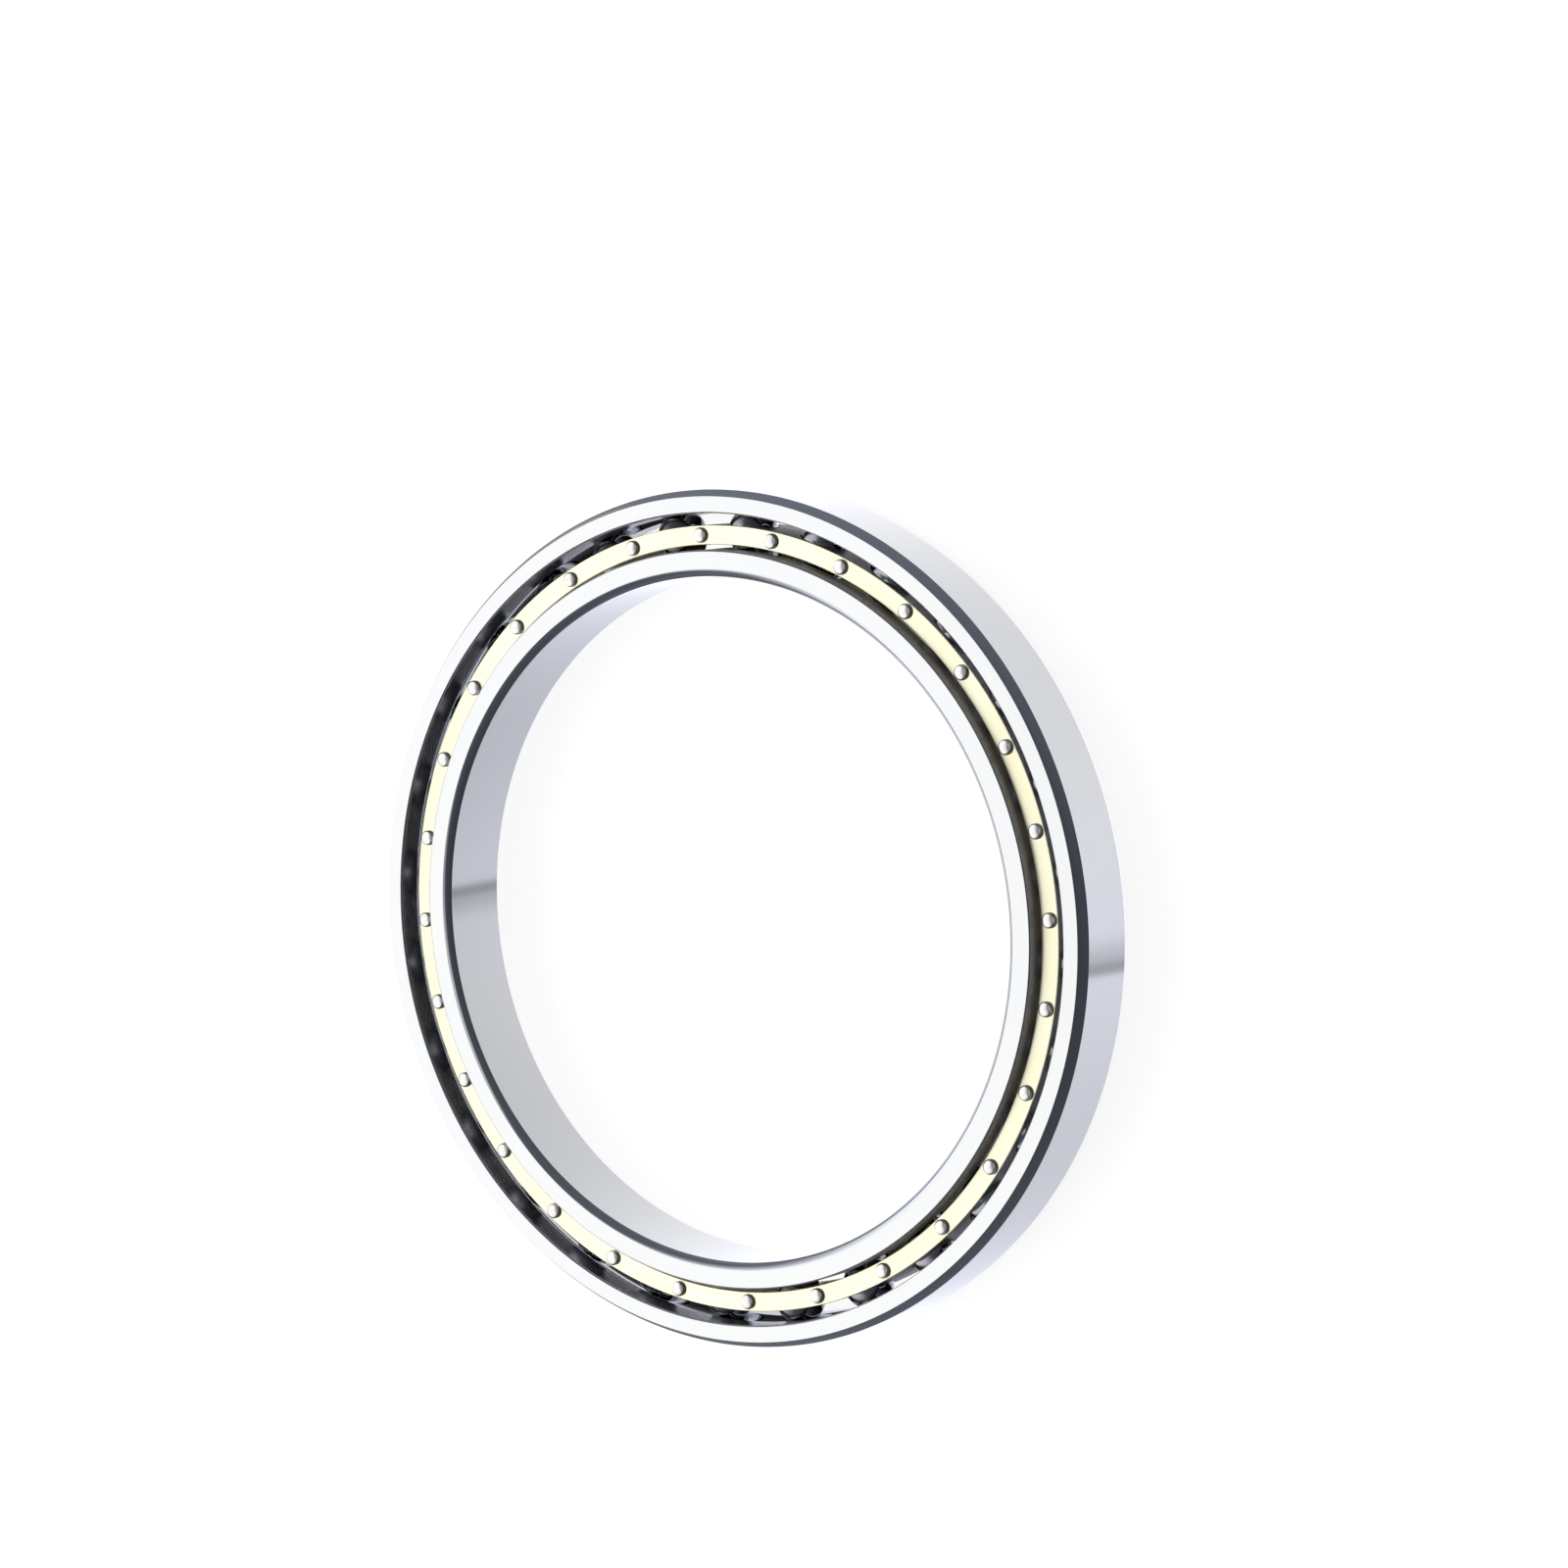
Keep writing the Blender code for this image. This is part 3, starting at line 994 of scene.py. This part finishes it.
@dataclass(frozen=True)
class StudioSky:
    """A bright room round the bearing, as a colour for each direction.

    A white wall stands on one side, the table under the bearing is light, and the rest of the room,
    behind the camera, is dark with a small lamp overhead. Angles are in degrees, azimuths from +X
    towards +Y.
    """

    wall_azimuth: float = -164.0  # The middle of the white wall
    wall_level: float = 1.62  # Its brightness
    # Where the wall fades on the side of growing azimuth, from its middle
    wall_sharp: Pair = (14.0, 54.0)
    wall_soft: Pair = (-86.0, -24.0)  # Where it fades on the other side
    wall_top: Pair = (55.0, 74.0)  # Elevations between which it ends
    # Elevations between which it narrows towards its foot, and by how much
    wall_narrow: Triple = (5.0, 45.0, 1.3)
    # Elevations between which it dims downwards, and the share that is left, in two steps
    wall_feet: tuple[Triple, ...] = ((-12.0, 2.0, 0.6), (-37.0, -23.0, 0.35))
    room: Colour = (0.110, 0.118, 0.134)  # Colour of the dark room
    # How light the room is: at its middle, and how much more along +X and +Y
    dusk: Triple = (1.05, -0.56, 0.18)
    # Elevations between which it dims upwards, and how much lighter it is below
    dusk_foot: Triple = (5.0, 25.0, 1.4)
    table_level: float = 1.065  # Mean brightness of the table
    # Shares of that level: the mean, and the parts with cos a, sin a and cos 2a of the azimuth a
    table_swell: tuple[float, ...] = (1.06, -0.12, 0.08, 0.12)
    table_tint: Colour = (0.96, 0.972, 1.09)  # Its colour towards -Y, as a share of that brightness
    # Values of y between which that tint fades, and the share of it that is left
    table_cool: Triple = (-0.1, 0.35, 0.35)
    table_edge: Pair = (-54.0, -41.0)  # Elevations between which the table turns to room
    # Azimuth and elevation of a point of the darker line across the table
    seam_place: Pair = (-13.9, -54.0)
    seam_lean: float = 1.075  # How far the line moves in azimuth with each degree of elevation
    seam_left: float = 0.42  # Share of the table's light that is left in the line
    seam_before: Pair = (-2.8, -0.4)  # Angles beside the line between which it darkens
    # Angles beside the line between which it lightens again, and how much, in two steps
    seam_after: tuple[Triple, ...] = ((0.6, 2.6, 0.26), (2.0, 11.0, 0.32))
    ceiling_edge: Pair = (66.0, 76.0)  # Elevations between which the room turns to ceiling
    ceiling_level: float = 0.5  # Brightness of the ceiling
    lamp_level: float = 0.8  # Brightness of the lamp overhead
    # How far the lamp's middle stands off the Z axis, along +X and +Y, as sines
    lamp_lean: Pair = (0.02, 0.10)
    lamp_edge: Pair = (10.0, 17.0)  # Angles from its middle between which it ends

    def build(self) -> None:
        """Makes the world. The camera itself sees plain white."""
        world = bpy.data.worlds.new("studio_room")
        world.use_nodes = True
        bpy.context.scene.world = world
        nodes = world.node_tree
        nodes.nodes.clear()
        tree = NodeTree(nodes)
        direction = tree.node("ShaderNodeTexCoord").outputs["Generated"]
        parts = tree.node("ShaderNodeSeparateXYZ")
        tree.put(direction, parts.inputs[0])
        x, y, z = parts.outputs
        elevation = tree.math("DEGREES", tree.math("ARCSINE", z))
        azimuth = tree.math("DEGREES", tree.math("ARCTAN2", y, x))
        above = tree.math("MAXIMUM", self._wall(tree, x, y, elevation), self._lamp(tree, x, y, z))
        ceiling = tree.ramp(elevation, *self.ceiling_edge, 0.0, self.ceiling_level)
        above = tree.math("MAXIMUM", above, ceiling)
        table = self._table(tree, azimuth, elevation)
        dusk = self._dusk(tree, x, y, elevation)
        full, faint, left = self.table_cool
        cool = tree.ramp(y, full, faint, 1.0, left)
        colour = tree.node("ShaderNodeCombineColor")
        for tint, share, socket in zip(self.table_tint, self.room, colour.inputs):
            shift = tree.math("ADD", tree.math("MULTIPLY", cool, tint - 1), 1.0)
            level = tree.math("MAXIMUM", above, tree.math("MULTIPLY", table, shift))
            tree.put(tree.math("MAXIMUM", level, tree.math("MULTIPLY", dusk, share)), socket)
        room = tree.node("ShaderNodeBackground")
        tree.put(colour.outputs[0], room.inputs["Color"])
        white = tree.node("ShaderNodeBackground")
        white.inputs["Color"].default_value = (1, 1, 1, 1)
        shown = tree.node("ShaderNodeMixShader")
        tree.put(tree.node("ShaderNodeLightPath").outputs["Is Camera Ray"], shown.inputs[0])
        tree.put(room.outputs[0], shown.inputs[1])
        tree.put(white.outputs[0], shown.inputs[2])
        tree.put(shown.outputs[0], tree.node("ShaderNodeOutputWorld").inputs["Surface"])

    def _lamp(self, tree: NodeTree, x: Socket, y: Socket, z: Socket) -> Socket:
        """Brightness of the round lamp, eased to nothing between its two angles.

        The cosine of the angle from its middle (p, q, h) is p x + q y + h z.

        Args:
            tree: The world's nodes.
            x: The direction's part along X.
            y: Its part along Y.
            z: Its part along Z.

        Returns:
            The brightness.
        """
        right, up = self.lamp_lean
        high = math.sqrt(1 - right**2 - up**2)
        near = tree.weighted((x, y, z), (right, up, high))
        full, end = (math.cos(math.radians(angle)) for angle in self.lamp_edge)
        return tree.ramp(near, end, full, 0.0, self.lamp_level)

    def _dusk(self, tree: NodeTree, x: Socket, y: Socket, elevation: Socket) -> Socket:
        """How light the room is, darkest towards +X and lighter near the floor.

        It is the middle value plus a share of x and a share of y, times the ease near the floor.

        Args:
            tree: The world's nodes.
            x: The direction's part along X.
            y: Its part along Y.
            elevation: Its elevation.

        Returns:
            A factor for the room's colour.
        """
        middle, *leans = self.dusk
        low, high, more = self.dusk_foot
        shade = tree.math("ADD", tree.weighted((x, y), leans), middle)
        return tree.math("MULTIPLY", shade, tree.ramp(elevation, low, high, more, 1.0))

    def _wall(self, tree: NodeTree, x: Socket, y: Socket, elevation: Socket) -> Socket:
        """Brightness of the white wall: full in its middle, eased to nothing at its edges.

        With the middle at the azimuth w, a direction lies ahead by x cos w + y sin w and aside by
        y cos w - x sin w. The angle between the two, widened towards the foot, picks the share.

        Args:
            tree: The world's nodes.
            x: The direction's part along X.
            y: Its part along Y.
            elevation: Its elevation.

        Returns:
            The brightness.
        """
        turn = math.radians(self.wall_azimuth)
        ahead = tree.weighted((x, y), (math.cos(turn), math.sin(turn)))
        aside = tree.weighted((y, x), (math.cos(turn), -math.sin(turn)))
        beside = tree.math("DEGREES", tree.math("ARCTAN2", aside, ahead))
        beside = tree.math("MULTIPLY", beside, tree.ramp(elevation, *self.wall_narrow, 1.0))
        shares = [
            tree.ramp(beside, *self.wall_sharp, 1.0, 0.0),
            tree.ramp(beside, *self.wall_soft, 0.0, 1.0),
        ]
        shares += [tree.ramp(elevation, low, high, rest, 1.0) for low, high, rest in self.wall_feet]
        level = tree.ramp(elevation, *self.wall_top, self.wall_level, 0.0)
        for share in shares:
            level = tree.math("MULTIPLY", level, share)
        return level

    def _table(self, tree: NodeTree, azimuth: Socket, elevation: Socket) -> Socket:
        """Brightness of the table, with the darker line across it.

        With the azimuth a it is t (m + p cos a + q sin a + r cos 2a). The line drops it at once on one
        side, and on the other it comes back in a quick and then a slow step.

        Args:
            tree: The world's nodes.
            azimuth: The direction's azimuth.
            elevation: Its elevation.

        Returns:
            The brightness.
        """
        mean, *swells = self.table_swell
        angle = tree.math("RADIANS", azimuth)
        twice = tree.math("MULTIPLY", angle, 2.0)
        waves = (tree.math("COSINE", angle), tree.math("SINE", angle), tree.math("COSINE", twice))
        swell = tree.math("ADD", tree.weighted(waves, swells), mean)
        start, level = self.seam_place
        lean = tree.math("MULTIPLY", tree.math("SUBTRACT", elevation, level), self.seam_lean)
        beside = tree.math("SUBTRACT", tree.math("SUBTRACT", azimuth, start), lean)
        before = tree.ramp(beside, *self.seam_before, 1.0, self.seam_left)
        after = self.seam_left
        for low, high, rise in self.seam_after:
            after = tree.math("ADD", tree.ramp(beside, low, high, 0.0, rise), after)
        seam = tree.math("MAXIMUM", before, after)
        edge = tree.ramp(elevation, *self.table_edge, self.table_level, 0.0)
        return tree.math("MULTIPLY", tree.math("MULTIPLY", swell, seam), edge)


@dataclass(frozen=True)
class Floor:
    """The plain white floor that the bearing lies on.

    The camera sees it as white with the bearing's faint shadow. Reflections pass through it to the
    studio's light table, and it can't be seen from below.
    """

    half_size: float = 3.0
    drop: float = 0.05 * MM  # How far it lies below the bearing
    glow: float = 0.86  # Share of white that it gives by itself, also in the shadow
    albedo: float = 0.55  # Share of the light on it that it gives back

    def build(self) -> bpy.types.Object:
        """Makes the floor and its material.

        Returns:
            The floor.
        """
        low, high = -self.half_size, self.half_size
        corners = np.array([(low, low), (high, low), (high, high), (low, high)])
        vertices = np.column_stack([corners, np.full(4, -self.drop)])
        mesh = bpy.data.meshes.new("floor_mesh")
        mesh.from_pydata(vertices, [], [(0, 1, 2, 3)])
        floor = bpy.data.objects.new("floor", mesh)
        bpy.context.scene.collection.objects.link(floor)
        mesh.materials.append(self._material())
        return floor

    def _material(self) -> bpy.types.Material:
        """A white glow with a share of plain diffuse white, which takes the shadow.

        Returns:
            The material.
        """
        made = bpy.data.materials.new("white_floor")
        made.use_nodes = True
        made.node_tree.nodes.clear()
        tree = NodeTree(made.node_tree)
        glow = tree.node("ShaderNodeEmission")
        glow.inputs["Color"].default_value = (1, 1, 1, 1)
        glow.inputs["Strength"].default_value = self.glow
        plain = tree.node("ShaderNodeBsdfDiffuse")
        plain.inputs["Color"].default_value = (self.albedo, self.albedo, self.albedo, 1)
        both = tree.node("ShaderNodeAddShader")
        tree.put(glow.outputs[0], both.inputs[0])
        tree.put(plain.outputs[0], both.inputs[1])
        clear = tree.node("ShaderNodeBsdfTransparent")
        path = tree.node("ShaderNodeLightPath")
        glossy, through = path.outputs["Is Glossy Ray"], path.outputs["Is Transmission Ray"]
        behind = tree.node("ShaderNodeNewGeometry").outputs["Backfacing"]
        shown = tree.node("ShaderNodeMixShader")
        tree.put(tree.math("MAXIMUM", tree.math("MAXIMUM", glossy, through), behind), shown.inputs[0])
        tree.put(both.outputs[0], shown.inputs[1])
        tree.put(clear.outputs[0], shown.inputs[2])
        tree.put(shown.outputs[0], tree.node("ShaderNodeOutputMaterial").inputs["Surface"])
        return made


@dataclass(frozen=True)
class PhotoCamera:
    """The camera, at the photograph's viewing angle."""

    place: Triple = (0.70103, 0.18428, 0.99060)
    # The point of the upper side faces' plane that it looks at, the middle of the picture
    aim: Triple = (0.01775, 0.03388, 0.020)
    up: Triple = (-0.09752, 0.99160, -0.08500)  # The picture's upward direction
    lens_mm: float = 119.92
    sensor_mm: float = 36.0
    reach: Pair = (0.01, 20.0)  # Nearest and farthest distance that it sees

    def build(self) -> bpy.types.Object:
        """Makes the camera, with its three axes set square to each other.

        Returns:
            The camera.
        """
        data = bpy.data.cameras.new("photo_camera")
        data.sensor_width = self.sensor_mm
        data.lens = self.lens_mm
        data.clip_start, data.clip_end = self.reach
        camera = bpy.data.objects.new("photo_camera", data)
        bpy.context.scene.collection.objects.link(camera)
        back = (Vector(self.place) - Vector(self.aim)).normalized()
        right = Vector(self.up).cross(back).normalized()
        up = back.cross(right)
        turn = Matrix((right, up, back)).transposed().to_4x4()
        camera.matrix_world = Matrix.Translation(self.place) @ turn
        bpy.context.scene.camera = camera
        return camera


def main() -> None:
    """Builds the camera, the studio and the bearing."""
    logging.basicConfig(level=logging.INFO, format="%(name)s: %(message)s")
    bpy.context.scene.view_settings.view_transform = "Standard"
    PhotoCamera().build()
    StudioSky().build()
    Floor().build()
    Bearing(BearingSizes.from_frame()).build()


if __name__ == "__main__":
    main()
